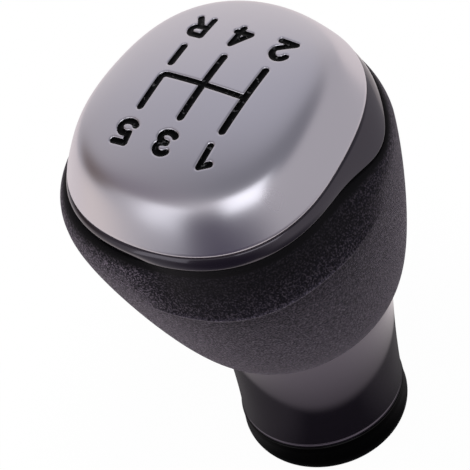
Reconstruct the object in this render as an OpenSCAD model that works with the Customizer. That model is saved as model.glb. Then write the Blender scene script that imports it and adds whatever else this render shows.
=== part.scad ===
// Manual gear shift knob with a five-speed pattern: a metal-finish cap, a grained grip that
// leans forward over the lever, a gloss neck and a foot collar that holds the gaiter's edge.
// Z runs up the lever, Y points to the front of the car, and the origin is the centre of the
// foot's underside. The head (cap, ring and the grip's top) has a frame of its own, tilted
// forward, whose origin is the crossing of the shift pattern.

/* [Head] */
// Height of the pattern's crossing above the foot
knob_h = 93.9; // [88:0.1:100]
// How far the head's centre lies in front of the lever
head_y = 6.7; // [5.2:0.1:8.2]
// How far the head tips down at its front, degrees
head_tilt = 5.8; // [4:0.1:8]

/* [Cap] */
// Mean radius of the cap's edge
cap_r = 26.65; // [25.5:0.05:28]
// How much further the edge reaches at the front than at the rear
cap_fore = 1; // [0.5:0.05:1.4]
// How much longer than wide the edge is
cap_oval = 1.2; // [0.8:0.05:1.6]
// How egg-shaped the edge is
cap_egg = 0.4; // [0:0.05:0.6]
// How square the edge is
cap_square = 0.7; // [0.3:0.05:0.9]
// Depth of the edge below the pattern's crossing
cap_depth = 11.8; // [11:0.1:13]
// Radius of the crown from side to side
crown_r_x = 125; // [105:1:160]
// Radius of the crown from front to rear
crown_r_y = 100; // [85:1:130]
// Share of the radius at which the crown bends into the flank
crown_share = 0.86; // [0.82:0.01:0.88]
// Softness of that bend
crown_soft = 0.08; // [0.05:0.01:0.12]
// Wall of the cap
cap_wall = 2; // [1.6:0.1:2.4]
// Width of a cap hook
hook_w = 5; // [4:0.1:6]
// Thickness of a cap hook
hook_t = 1.6; // [1.3:0.1:2]
// How far a hook's barb reaches under the carrier
hook_barb = 0.9; // [0.7:0.05:1.1]

/* [Pattern] */
// Distance between two columns of the shift pattern
gate_pitch = 8.5; // [7.8:0.1:8.8]
// Length of the front columns
gate_front = 8.1; // [7.4:0.1:8.6]
// Length of the rear columns
gate_rear = 7.2; // [6.6:0.1:7.6]
// Gap between the cross bar and the reverse line
gate_break = 1.9; // [1.6:0.1:2.4]
// Width of a line
line_w = 0.95; // [0.8:0.05:1.1]
// Depth of the engraving
engrave_d = 0.6; // [0.4:0.05:0.8]
// How far the enamel lies below the cap's face
enamel_sink = 0.15; // [0.1:0.05:0.25]
// Height of a character
char_h = 5.4; // [5:0.1:5.8]
// Width of a character
char_w = 4.1; // [3.8:0.1:4.4]
// Width of a character's stroke
char_stroke = 1.15; // [1:0.05:1.3]
// Space between a line's end and its character
char_gap = 1.9; // [1.6:0.1:2.2]
// Radius of the middle of the bent line
corner_r = 1; // [0.8:0.1:1.2]

/* [Trim ring] */
// Height of the ring's face at the front
ring_face_h = 2.7; // [2.3:0.1:3.1]
// How far the ring's lower edge stands outside the cap's edge
ring_out = 0.4; // [0.2:0.05:0.6]
// How much further the side flares stand out, and how much lower they reach
ring_flare = 2.3; // [1.6:0.1:2.5]
// Where the flares are largest, as the sine of their direction
flare_at = -0.35; // [-0.4:0.01:-0.3]
// How far the flares spread, on the same scale
flare_spread = 0.31; // [0.28:0.01:0.34]
// How far the ring's face bows out between its edges
ring_bow = 0.25; // [0.15:0.05:0.35]
// How far the face's upper edge lies inside the cap's edge
ring_top_inset = 0.5; // [0.4:0.1:0.6]
// How far the ring's skirt lies inside the cap's edge
ring_inset = 1.6; // [1.5:0.1:1.8]
// Wall of the ring's skirt
ring_wall = 1.6; // [1.4:0.1:1.8]
// Height of the ring's inner flange
ring_flange_t = 1.2; // [1:0.1:1.5]
// Width of that flange
flange_w = 2; // [1.8:0.1:2.2]

/* [Grip] */
// How far the grip's widest line stands outside the cap's edge
grip_out = 2.8; // [2.6:0.05:3.1]
// Depth of the grip's widest line below the cap's edge
grip_drop = 8.4; // [8:0.1:9]
// How much further the widest line stands out at the front than at the rear
rim_fore = 0.65; // [0.4:0.05:0.8]
// How much further it stands out at the sides
rim_sides = 1.3; // [1:0.05:1.6]
// How far the grip's lower edge stands outside the neck at the sides
grip_foot_side = 3.5; // [3.2:0.1:4.2]
// How far it stands outside the neck at the front and the rear
grip_foot_end = 2.4; // [2.3:0.1:3]
// How far the lower edge's middle lies behind the lever
grip_foot_back = 0.8; // [0.7:0.1:1.2]
// Depth of the grip's lower edge below the pattern's crossing, on the lever's axis
grip_h = 55; // [53.5:0.1:56.5]
// Slope of the grip's lower edge, degrees down to the front
grip_foot_tilt = 14.7; // [13:0.1:15.5]
// Outward pull on the side curves where they leave the lower edge
low_out = 3.9; // [3.7:0.1:4.1]
// Its extra part at the front
low_out_fore = 2.3; // [2.1:0.1:2.5]
// Upward pull there
low_up = 5.6; // [5.4:0.1:5.8]
// Its extra part at the rear
low_up_rear = 0.5; // [0.3:0.1:0.7]
// Downward pull where they arrive at the widest line
high_down = 8.5; // [8.3:0.1:8.7]
// Its extra part at the rear
high_down_rear = 3.1; // [2.9:0.1:3.3]
// Thickness of the skin
skin_t = 2.2; // [1.9:0.1:2.4]
// Depth to which the core is drawn in behind the finger scoop
scoop_d = 1.6; // [1.5:0.05:1.8]
// How hollow the scoop is, from the ring down to its crease
scoop_sag = 0.5; // [0.2:0.05:0.7]
// Share of the hollow that the scoop takes out
scoop_share = 0.9; // [0.8:0.02:0.96]
// Where the scoop sets in, as the cosine of its direction
scoop_start = 0.12; // [0.05:0.01:0.15]
// Over how much of the cosine it deepens
scoop_onset = 0.3; // [0.26:0.01:0.34]
// Where it has faded out, as the sine of its direction
scoop_end = -0.15; // [-0.2:0.01:-0.1]
// Over how much of the sine it fades
scoop_fade = 0.5; // [0.4:0.01:0.6]
// Height of the crease at the side, as a share of the side curve
crease_side = 0.88; // [0.86:0.01:0.9]
// How much lower the crease lies at the front
crease_dip = 0.1; // [0.08:0.01:0.12]
// How far the skin's upper end reaches under the ring's face
skin_lip = 0.3; // [0.2:0.05:0.4]
// How far the skin's lower outer corner is drawn in
lip_round = 0.5; // [0.3:0.05:0.6]
// Wall of the core
core_wall = 2.6; // [2.2:0.1:3]

/* [Neck] */
// Room between the core's tube and the neck sleeve
neck_room = 1.15; // [1:0.05:1.4]
// How much the neck's radius grows from the foot collar to the grip
neck_flare = 2.1; // [1.8:0.1:2.4]
// How far the neck leans back at its top
neck_lean = 2.8; // [2:0.1:3]
// How much wider than long the neck is at its top
neck_oval = 0.6; // [0.4:0.05:0.8]
// Wall of the neck sleeve
neck_wall = 1.8; // [1.5:0.1:2.1]
// Width of an inner rib of the neck sleeve
neck_rib_w = 1.6; // [1.2:0.1:2]

/* [Foot] */
// Height of the foot collar
foot_h = 8.4; // [7.8:0.1:9]
// How far the foot collar stands outside the neck
foot_out = 0.3; // [0.3:0.05:0.8]
// How far the flat face that it stands on lies inside its largest radius
foot_round = 4.4; // [4:0.1:4.8]
// Radius of the hole in the foot collar
foot_hole_r = 9.6; // [9:0.1:9.9]
// Thickness of the gaiter seal
seal_t = 1.2; // [1:0.1:1.5]
// How far the gaiter seal lies inside the neck's outer face
seal_inset = 1.6; // [1.4:0.1:1.8]
// Thickness of the foot collar's lower lip
foot_lip_t = 2; // [1.6:0.1:2.4]
// Height of the collar's wall between the spring clip and the seal
clip_lip = 1.4; // [1.2:0.1:1.6]
// Thickness of the spring clip
clip_t = 1.2; // [1:0.1:1.4]
// Depth to which the clip sits in the tube and in the collar
clip_bite = 0.6; // [0.5:0.05:0.8]
// Opening of the clip, degrees
clip_opening = 50; // [40:1:70]

/* [Lever seat] */
// Radius of the bore for the gear lever
lever_r = 6; // [5.5:0.1:6.4]
// Wall of the lever bush
bush_wall = 2.6; // [2.4:0.1:2.9]
// Height of the bush's mouth above the foot
bush_z = 9; // [8.5:0.1:10]
// Height of the bush's top above the grip's lower edge
bush_rise = 11.1; // [10.5:0.1:12]
// Solid end of the bush above the bore
bush_end = 5; // [4:0.1:6]
// Radius of the bush's stud
stud_r = 5; // [4.5:0.1:5.5]
// Wall of the rubber sleeve round the bush
damper_t = 1.7; // [1.5:0.1:2]
// Wall of the core's tube round the rubber sleeve
tube_wall = 1.8; // [1.6:0.1:2]
// Thickness of the core's web under the nut
web_t = 3; // [2.5:0.1:3.5]
// Distance across the nut's flats
nut_af = 17; // [16:0.1:18]
// Height of the nut
nut_h = 6.5; // [6:0.1:7.5]
// How far the stud stands out of the nut
stud_proud = 0.8; // [0.5:0.1:1.5]
// Thickness of the nut's washer
washer_t = 1.2; // [1:0.1:1.6]
// How far the washer reaches past the nut's corners
washer_lip = 0.2; // [0.1:0.1:0.6]
// Room round the nut for a spanner
spanner_room = 1; // [0.8:0.1:1.8]
// Wall between the core's tube and its pockets
tower_wall = 1.6; // [1.4:0.1:1.8]

/* [Inside the head] */
// Thickness of the carrier plate
carrier_t = 2.4; // [2:0.1:3]
// Room round the ballast weight, inside the screws' heads and the hooks
ballast_room = 0.3; // [0.2:0.1:1.2]
// Height of the ballast weight
ballast_h = 9; // [8:0.1:9.4]
// How far the foam pad lies inside the ballast's edge
pad_inset = 4; // [3:0.1:5]
// How far the carrier screws lie inside the cap's mean edge
screw_inset = 9.45; // [9.1:0.05:9.7]
// Radius of a screw's shank
screw_r = 1.25; // [1:0.05:1.4]
// Length of a screw's shank in the core
screw_len = 8; // [6:0.1:9]
// Radius of a screw's head
screw_head_r = 1.9; // [1.7:0.05:2]
// Height of a screw's head
screw_head_h = 1.6; // [1.4:0.1:1.8]
// Radius of a screw boss of the core
boss_r = 3; // [2.8:0.1:3.2]

/* [Fits] */
// Seam between two visible pieces
seam = 0.3; // [0.2:0.05:0.4]
// Clearance between a piece and the piece inside it
fit_gap = 0.15; // [0.1:0.05:0.2]

/* [Hidden] */
$fn = 64;

// Points round a loft
around = 48;
// A cutting tool reaches this far past what it cuts
past = 1;
turns = [for (i = [0 : around - 1]) i * 360 / around];

// Places in the head's frame, all below the crossing
edge_z = -cap_depth;
core_top_z = edge_z - grip_drop;
flange_top_z = core_top_z + ring_flange_t;
carrier_top_z = flange_top_z + carrier_t;
ballast_top_z = carrier_top_z + ballast_h;
ring_top_z = edge_z - seam;
ring_skirt_in = ring_inset + ring_wall;
carrier_edge = ring_skirt_in + fit_gap;
skin_top_inset = ring_inset - fit_gap;

// Radii round the lever
screw_ring_r = cap_r - screw_inset;
bush_r = lever_r + bush_wall;
damper_in_r = bush_r + fit_gap;
damper_out_r = damper_in_r + damper_t;
tube_in_r = damper_out_r + fit_gap;
tube_r = tube_in_r + tube_wall;
tower_r = tube_r + tower_wall;
collar_in_r = tube_r + fit_gap;
neck_r = collar_in_r + neck_room + neck_wall;
neck_top_r = neck_r + neck_flare;
grip_foot_x = neck_top_r + grip_foot_side;
grip_foot_y = neck_top_r + grip_foot_end;
foot_r = neck_r + foot_out;
foot_flat_r = foot_r - foot_round;
seal_r = neck_r - seal_inset;
nut_corner_r = nut_af / 2 / cos(30);

// Heights on the lever's axis
grip_foot_z = knob_h - grip_h;
bush_top_z = grip_foot_z + bush_rise;
bore_top_z = bush_top_z - bush_end;
web_top_z = bush_top_z + web_t;
washer_top_z = web_top_z + washer_t;
nut_top_z = washer_top_z + nut_h;
stud_top_z = nut_top_z + stud_proud;
clip_z = foot_h - seal_t - clip_lip - clip_t;

// Radius of the cap's edge in the direction t, which is 0 along X and 90 at the front
function edge_r(t) = cap_r + cap_fore * sin(t) - cap_oval * cos(2 * t)
    + cap_egg * sin(3 * t) - cap_square * cos(4 * t);

// A point of the head's frame, turned and carried to its place over the lever
function head(p) = [p.x, head_y + p.y * cos(head_tilt) + p.z * sin(head_tilt),
    knob_h - p.y * sin(head_tilt) + p.z * cos(head_tilt)];

// A point of the head at radius r, direction t and height z
function polar(r, t, z) = [r * cos(t), r * sin(t), z];
function on_head(r, t, z) = head(polar(r, t, z));

// Crown of the cap: a paraboloid with its own radius each way
function crown(x, y) = -x * x / (2 * crown_r_x) - y * y / (2 * crown_r_y);

// The bend from crown to flank is one branch of a hyperbola, 0 at the centre and 1 at the edge
function branch(d) = (d + sqrt(d * d + crown_soft * crown_soft)) / 2;
function bend(u) = (branch(u - crown_share) - branch(-crown_share))
    / (branch(1 - crown_share) - branch(-crown_share));

// Height of the cap's face in direction t, at the share u of the edge's radius
function crown_at(r, t) = crown(r * cos(t), r * sin(t));
function cap_z(t, u) = crown_at(u * edge_r(t), t)
    + (edge_z - crown_at(edge_r(t), t)) * bend(u);

// The cap's inner face: drawn in by the wall, and lower by the wall
function cap_in(t, u) = [u * (edge_r(t) - cap_wall), max(cap_z(t, u) - cap_wall, edge_z)];

// Side flares of the ring: 1 a little behind each side, fading to the front and the rear
function flare(t) = exp(-pow((sin(t) - flare_at) / flare_spread, 2));
function ring_edge_r(t) = edge_r(t) + ring_out + ring_flare * flare(t);
function ring_edge_z(t) = edge_z - ring_face_h - ring_flare * flare(t);

// Widest line of the grip, in the head's frame
function rim_r(t) = edge_r(t) + grip_out + rim_fore * sin(t) + rim_sides * cos(2 * t);
function rim(t) = on_head(rim_r(t), t, core_top_z);

// Lower edge of the grip, on a plane that falls to the front
function foot_plane_z(y) = grip_foot_z - y * tan(grip_foot_tilt);
function foot_edge(t) = let (y = grip_foot_y * sin(t) - grip_foot_back)
    [grip_foot_x * cos(t), y, foot_plane_z(y)];

// A side curve of the grip is a cubic. It leaves the lower edge outwards and upwards and
// arrives at the widest line straight up. v runs from 0 to 1.
function outward(t) = [cos(t), sin(t), 0];
function low_handle(t) = foot_edge(t) + (low_out + low_out_fore * sin(t)) * outward(t)
    + [0, 0, low_up - low_up_rear * sin(t)];
function high_handle(t) = rim(t) - [0, 0, high_down - high_down_rear * sin(t)];
function cubic(a, b, c, d, v) = pow(1 - v, 3) * a + 3 * v * pow(1 - v, 2) * b
    + 3 * v * v * (1 - v) * c + pow(v, 3) * d;
function grip_point(t, v) = cubic(foot_edge(t), low_handle(t), high_handle(t), rim(t), v);

// The shoulder turns from the widest line to the ring's lower edge as a quarter of an oval
function shoulder(t, a) = let (r_in = ring_edge_r(t) - skin_lip, z_in = ring_edge_z(t) - seam)
    on_head(r_in + (rim_r(t) - r_in) * cos(a), t, core_top_z + (z_in - core_top_z) * sin(a));

// One finger scoop lies between the ring and a crease, from the front's middle round the left
// side. There the side curve leaves the full shape for a hollow chord from the crease to the
// ring. q runs from 0 at the crease over 1 at the widest line to 2 at the ring.
function ease(x) = let (c = min(max(x, 0), 1)) c * c * (3 - 2 * c);
function scooped(t) = ease((scoop_start - cos(t)) / scoop_onset)
    * ease((sin(t) - scoop_end) / scoop_fade);
function crease_v(t) = crease_side - crease_dip * ease((sin(t) - 0.4) / 0.6);
function full(t, q) = q < 1 ? grip_point(t, crease_v(t) + q * (1 - crease_v(t)))
    : shoulder(t, 90 * (q - 1));
function chord(t, q) = full(t, 0) + (full(t, 2) - full(t, 0)) * q / 2
    - scoop_sag * sin(90 * q) * outward(t);
function upper_skin(t, q) = full(t, q) + (chord(t, q) - full(t, q)) * scooped(t) * scoop_share;

// Surfaces drawn in by a distance d, for the skin's inside and the core, and drawn in more
// behind the scoop. Their ends stay on the planes of the lower edge and of the core's top.
function plane_slope(v) = (1 - v) * tan(grip_foot_tilt) + v * tan(head_tilt);
function grip_in(t, v, d) = let (draw = d + scoop_d * scooped(t) * ease((v - 0.6) / 0.4))
    grip_point(t, v) - draw * outward(t) + [0, 0, draw * sin(t) * plane_slope(v)];

// Neck sleeve: its radius grows with the square of the height, and a little more sideways
function neck_y_half(v, d) = neck_r + (neck_top_r - neck_r) * v * v - d;
function neck_x_half(v, d) = neck_y_half(v, d) + neck_oval * v * v;
function neck_point(t, v, d) = let (y = neck_y_half(v, d) * sin(t) - neck_lean * v)
    [neck_x_half(v, d) * cos(t), y, foot_h + v * (foot_plane_z(y) - foot_h)];

// A closed solid through rings of points. It ends in flat caps, or runs back to its first
// ring, so that a wall comes out in one piece.
function quad(a, b, c, d) = [[a, b, c], [a, c, d]];
function ring_faces(low, high, n) = [for (j = [0 : n - 1]) let (k = (j + 1) % n)
    each quad(low * n + j, low * n + k, high * n + k, high * n + j)];
module loft(rings, looped = false) {
    n = len(rings[0]);
    m = len(rings);
    low_cap = looped ? [] : [[for (j = [n - 1 : -1 : 0]) j]];
    high_cap = looped ? [] : [[for (j = [0 : n - 1]) (m - 1) * n + j]];
    sides = [for (i = [0 : looped ? m - 1 : m - 2]) each ring_faces(i, (i + 1) % m, n)];
    flip = [for (f = concat(low_cap, sides, high_cap)) [for (k = [len(f) - 1 : -1 : 0]) f[k]]];
    polyhedron(points = [for (r = rings) each r], faces = flip, convexity = 6);
}

// Everything that is built square to the head
module on_head_frame() {
    translate([0, head_y, knob_h]) rotate([-head_tilt, 0, 0]) children();
}

// A disc of the head between two heights, drawn in from the cap's edge by d
module head_slice(d, z_low, z_high) {
    loft([for (z = [z_low, z_high]) [for (t = turns) on_head(edge_r(t) - d, t, z)]]);
}

module tube(r_out, r_in, h) {
    difference() {
        cylinder(r = r_out, h = h);
        translate([0, 0, -past]) cylinder(r = r_in, h = h + 2 * past);
    }
}

// Shares of the edge's radius at which the cap's rings lie
cap_shares = [0.02, 0.3, 0.55, 0.7, 0.78, 0.83, 0.87, 0.91, 0.955, 1];
cap_in_shares = [1, 0.93, 0.87, 0.8, 0.6, 0.3, 0.02];

// The cap's solid, lowered by d, down to the height of its edge
module cap_solid(d) {
    loft([for (i = [len(cap_shares) - 1 : -1 : 0]) let (u = cap_shares[i])
        [for (t = turns) on_head(u * edge_r(t), t, cap_z(t, u) - d)]]);
}

module cap_hollow() {
    rings = [for (u = cap_in_shares) [for (t = turns) let (p = cap_in(t, u))
        on_head(p.x, t, p.y)]];
    rim_ring = [for (t = turns) on_head(edge_r(t) - cap_wall, t, edge_z - past)];
    loft(concat([rim_ring], rings));
}

// Engraving: outlines of strokes, each a row of points with a width
function unit(v) = v / norm(v);
function left_of(v) = [-v.y, v.x];
function along(path, i) = let (last = len(path) - 1)
    i == 0 ? unit(path[1] - path[0])
    : i == last ? unit(path[last] - path[last - 1])
    : unit(unit(path[i] - path[i - 1]) + unit(path[i + 1] - path[i]));
function widen(path, i) = let (last = len(path) - 1)
    i == 0 || i == last ? 1
    : 1 / max(0.5, along(path, i) * unit(path[i + 1] - path[i]));
module stroke(path, w) {
    last = len(path) - 1;
    left = [for (i = [0 : last]) path[i] + left_of(along(path, i)) * widen(path, i) * w / 2];
    right = [for (i = [last : -1 : 0]) path[i] - left_of(along(path, i)) * widen(path, i) * w / 2];
    polygon(concat(left, right));
}
function arc(c, rx, ry, from, to, steps) =
    [for (i = [0 : steps]) let (a = from + (to - from) * i / steps) c + [rx * cos(a), ry * sin(a)]];

// Characters stand in a box char_w by char_h, with the stroke's middle this far inside it
cw = char_w / 2 - char_stroke / 2;
ch = char_h / 2 - char_stroke / 2;
arc_steps = 8;
module char_1() {
    stroke([[0.1 * char_w, -char_h / 2], [0.1 * char_w, char_h / 2]], char_stroke);
    stroke([[0.1 * char_w, ch], [-cw, 0.45 * ch]], char_stroke);
}
module char_2() {
    bowl = arc([0, ch - cw], cw, cw, 160, -30, arc_steps);
    stroke(concat(bowl, [[-cw, -ch]]), char_stroke);
    stroke([[-cw - char_stroke / 2, -ch], [char_w / 2, -ch]], char_stroke);
}
module char_3() {
    bowl_r = ch / 2;
    stroke(concat(arc([0, bowl_r], cw * 0.9, bowl_r, 150, -75, arc_steps), [[-0.2 * cw, 0]]),
        char_stroke);
    stroke(concat([[-0.2 * cw, 0]], arc([0, -bowl_r], cw, bowl_r, 75, -150, arc_steps)),
        char_stroke);
}
module char_4() {
    stem_x = 0.35 * char_w / 2;
    bar_y = -0.38 * char_h / 2;
    stroke([[stem_x, -char_h / 2], [stem_x, char_h / 2]], char_stroke);
    stroke([[stem_x, ch], [-cw, bar_y], [char_w / 2, bar_y]], char_stroke);
}
module char_5() {
    bowl_r = 0.58 * ch;
    bowl = arc([-0.1 * cw, -ch + bowl_r], 1.1 * cw, bowl_r, 120, -150, arc_steps);
    stroke(concat([[0.95 * char_w / 2, ch], [-cw * 0.8, ch]], bowl), char_stroke);
}
module char_r() {
    bowl_r = ch / 2;
    stroke([[-cw, -char_h / 2], [-cw, char_h / 2]], char_stroke);
    stroke(concat([[-cw, ch]], arc([0.2 * cw, bowl_r], 0.8 * cw, bowl_r, 90, -90, arc_steps),
        [[-cw, 0]]), char_stroke);
    stroke([[0, 0], [cw, -char_h / 2]], char_stroke);
}

// The shift pattern, seen from above with the front at the top
char_front_y = gate_front + char_gap + char_h / 2;
char_rear_y = -gate_rear - char_gap - char_h / 2;
module pattern_lines() {
    p = gate_pitch;
    for (x = [-p, 0]) stroke([[x, -gate_rear], [x, gate_front]], line_w);
    corner = arc([p - corner_r, corner_r], corner_r, corner_r, -90, 0, 4);
    stroke(concat([[-p, 0]], corner, [[p, gate_front]]), line_w);
    stroke([[p, -gate_break], [p, -gate_rear]], line_w);
}
module pattern_outline() {
    pattern_lines();
    translate([-gate_pitch, char_front_y]) char_1();
    translate([0, char_front_y]) char_3();
    translate([gate_pitch, char_front_y]) char_5();
    translate([-gate_pitch, char_rear_y]) char_2();
    translate([0, char_rear_y]) char_4();
    translate([gate_pitch, char_rear_y]) char_r();
}
// Reach of the engraving tool below the crossing, past the lowest character
prism_h = 4.5;
module pattern_prism() {
    on_head_frame() translate([0, 0, -prism_h]) linear_extrude(prism_h + past) pattern_outline();
}
// Part of the pattern between the floor of the engraving and the depth d below the face
module pattern_body(d) {
    difference() {
        intersection() {
            pattern_prism();
            cap_solid(d);
        }
        cap_solid(engrave_d);
    }
}

// Four hooks hang from the cap's inner face. Each has its outer face just inside the ring's
// flange, less the barb, and its root in the middle of the cap's wall.
hook_turns = [0 : 90 : 270];
hook_corner = hook_w * hook_w / (8 * (cap_r - ring_skirt_in - flange_w));
function hook_r(a) = edge_r(a) - ring_skirt_in - flange_w - 2 * fit_gap - hook_barb
    - hook_corner;
hook_in_r = min([for (a = hook_turns) hook_r(a)]) - hook_t;
function hook_root_z(a) = cap_z(a, hook_r(a) / (edge_r(a) - cap_wall)) - cap_wall / 2;
module cap_hooks() {
    foot_z = flange_top_z - hook_barb;
    for (a = hook_turns) rotate(a) translate([hook_r(a) - hook_t, -hook_w / 2, foot_z]) {
        cube([hook_t, hook_w, hook_root_z(a) - foot_z]);
        cube([hook_t + hook_barb, hook_w, hook_barb - fit_gap]);
    }
}

module cap_shell() {
    color("#B4B1BC") union() {
        difference() {
            cap_solid(0);
            cap_hollow();
            pattern_body(-past);
        }
        on_head_frame() cap_hooks();
    }
}
module pattern_enamel() {
    color("#08080A") pattern_body(enamel_sink);
}
ballast_r = min(screw_ring_r - screw_head_r, hook_in_r) - ballast_room;
pad_r = ballast_r - pad_inset;
module foam_pad() {
    // It ends under the lowest point of the cap's inner face at the pad's radius
    pad_top_z = min([for (t = turns) cap_z(t, pad_r / (edge_r(t) - cap_wall))]) - cap_wall - fit_gap;
    color("#4A4A4E") on_head_frame() translate([0, 0, ballast_top_z])
        cylinder(r = pad_r, h = pad_top_z - ballast_top_z);
}
module ballast_weight() {
    color("#8C8F94") on_head_frame() translate([0, 0, carrier_top_z])
        cylinder(r = ballast_r, h = ballast_h);
}

// Screws stand between the hooks
screw_turns = [45 : 90 : 315];
module at_screws() {
    for (a = screw_turns) rotate(a) translate([screw_ring_r, 0, 0]) children();
}
module cap_carrier() {
    // A slot leaves the hook room to spring inwards as it snaps in
    slot_w = hook_w + 2 * fit_gap;
    spring_room = 1;
    slot_l = hook_t + spring_room + fit_gap;
    color("#232327") difference() {
        head_slice(carrier_edge, flange_top_z, carrier_top_z);
        on_head_frame() {
            for (a = hook_turns) rotate(a)
                translate([hook_r(a) - hook_t - spring_room, -slot_w / 2, flange_top_z - past])
                    cube([slot_l, slot_w, carrier_t + 2 * past]);
            translate([0, 0, flange_top_z - past]) at_screws()
                cylinder(r = screw_r + fit_gap, h = carrier_t + 2 * past);
        }
    }
}
module carrier_screws() {
    drive_depth = 0.8;
    color("#9A9CA0") on_head_frame() at_screws() {
        translate([0, 0, core_top_z - screw_len])
            cylinder(r = screw_r, h = carrier_top_z - core_top_z + screw_len);
        translate([0, 0, carrier_top_z]) difference() {
            cylinder(r = screw_head_r, h = screw_head_h);
            translate([0, 0, screw_head_h - drive_depth])
                cylinder(r = screw_head_r / 2, h = past, $fn = 6);
        }
    }
}
module trim_ring() {
    function at(r, z) = [for (t = turns) on_head(edge_r(t) + r, t, z)];
    // The face bows out a little between its upper and its lower edge
    function face(s, bow) = [for (t = turns) let (top = edge_r(t) - ring_top_inset, low = ring_edge_r(t))
        on_head(top + (low - top) * s + bow, t, ring_top_z + (ring_edge_z(t) - ring_top_z) * s)];
    low_in = [for (t = turns) on_head(edge_r(t) - ring_inset, t, ring_edge_z(t))];
    color("#17161A") loft([face(0, 0), face(0.35, ring_bow), face(0.7, ring_bow), face(1, 0), low_in,
        at(-ring_inset, core_top_z), at(-ring_skirt_in - flange_w, core_top_z),
        at(-ring_skirt_in - flange_w, flange_top_z), at(-ring_skirt_in, flange_top_z),
        at(-ring_skirt_in, ring_top_z)], looped = true);
}

// The skin's rings: outside from the lower edge to the crease and on to the ring, then inside
lower_shares = [0.04, 0.15, 0.3, 0.45, 0.6];
upper_steps = [0, 0.4, 0.8, 1.15, 1.45, 1.75, 2];
inner_shares = [1, 0.85, 0.7, 0.45, 0.2, 0];
crease_half = 0.03;
module grip_skin() {
    function at_share(v, d) = [for (t = turns) grip_in(t, v, d)];
    function at_step(q) = [for (t = turns) upper_skin(t, q)];
    function under_ring(z_at) = [for (t = turns) on_head(edge_r(t) - skin_top_inset, t, z_at(t))];
    low = [for (v = lower_shares) [for (t = turns) grip_point(t, v)]];
    below_crease = [for (t = turns) grip_point(t, crease_v(t) - crease_half)];
    high = [for (q = upper_steps) at_step(q)];
    top_in = under_ring(function (t) ring_edge_z(t) - seam);
    ledge = under_ring(function (t) core_top_z);
    inner = [for (v = inner_shares) at_share(v, skin_t)];
    color("#3B373F") loft(concat([at_share(0, lip_round)], low, [below_crease], high,
        [top_in, ledge], inner), looped = true);
}

// Core: a moulded bucket under the skin, with a tube down the lever and four screw bosses
module core_outside() {
    d = skin_t + fit_gap;
    loft([for (v = [0, 0.2, 0.45, 0.7, 0.85, 1]) [for (t = turns) grip_in(t, v, d)]]);
}
// Inside of the bucket, from below its mouth to above its top
module core_inside() {
    d = skin_t + fit_gap + core_wall;
    mouth = [for (t = turns) grip_in(t, 0, d) - [0, 0, past]];
    walls = [for (v = [0.2, 0.45, 0.7, 0.85, 1]) [for (t = turns) grip_in(t, v, d)]];
    lid = [for (t = turns) grip_in(t, 1, d) + [0, 0, past]];
    loft(concat([mouth], walls, [lid]));
}
// A floor at the foot of the web parts the upper pocket from the lower one, which is open to
// the neck
pocket_floor_z = bush_top_z;
pocket_roof_z = pocket_floor_z - core_wall;
module between(z_low, z_high) {
    translate([0, 0, z_low]) cylinder(r = 2 * cap_r, h = z_high - z_low);
}
// The bosses are tilted, so they start below the floor by what the tilt takes off them
boss_foot_z = pocket_floor_z - knob_h - cap_r * sin(head_tilt);
module core_bosses(z_low, z_high) {
    on_head_frame() translate([0, 0, z_low]) at_screws() cylinder(r = boss_r, h = z_high - z_low);
}
module core_cavities() {
    difference() {
        intersection() {
            core_inside();
            between(pocket_floor_z, knob_h);
        }
        cylinder(r = tower_r, h = web_top_z);
        core_bosses(boss_foot_z, flange_top_z);
    }
    translate([0, 0, web_top_z]) cylinder(r = nut_corner_r + spanner_room, h = stud_top_z - web_top_z);
    difference() {
        intersection() {
            core_inside();
            between(0, pocket_roof_z);
        }
        cylinder(r = tower_r, h = web_top_z);
    }
}
module grip_core() {
    groove_r = tube_r - clip_bite;
    color("#1D1C20") difference() {
        union() {
            difference() {
                core_outside();
                core_cavities();
            }
            translate([0, 0, foot_lip_t]) cylinder(r = tube_r, h = web_top_z - foot_lip_t);
            core_bosses(core_top_z - past, flange_top_z);
        }
        translate([0, 0, -past]) cylinder(r = tube_in_r, h = bush_top_z + past);
        cylinder(r = stud_r + fit_gap, h = web_top_z + past);
        on_head_frame() translate([0, 0, core_top_z - screw_len - fit_gap]) at_screws()
            cylinder(r = screw_r, h = screw_len + ring_flange_t + past);
        translate([0, 0, clip_z - fit_gap]) tube(tube_r + past, groove_r, clip_t + 2 * fit_gap);
    }
}

module lever_bush() {
    color("#C2A465") difference() {
        union() {
            translate([0, 0, bush_z]) cylinder(r = bush_r, h = bush_top_z - bush_z);
            translate([0, 0, bore_top_z + past]) cylinder(r = stud_r, h = stud_top_z - bore_top_z - past);
        }
        translate([0, 0, -past]) cylinder(r = lever_r, h = bore_top_z + past);
    }
}
module damper_sleeve() {
    color("#2A2A2C") translate([0, 0, bush_z]) tube(damper_out_r, damper_in_r, bush_top_z - bush_z);
}
module bush_washer() {
    color("#A9ABAE") translate([0, 0, web_top_z])
        tube(nut_corner_r + washer_lip, stud_r + fit_gap, washer_t);
}
module bush_nut() {
    color("#8E9094") translate([0, 0, washer_top_z]) difference() {
        cylinder(r = nut_corner_r, h = nut_h, $fn = 6);
        translate([0, 0, -past]) cylinder(r = stud_r + fit_gap, h = nut_h + 2 * past);
    }
}

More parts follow.
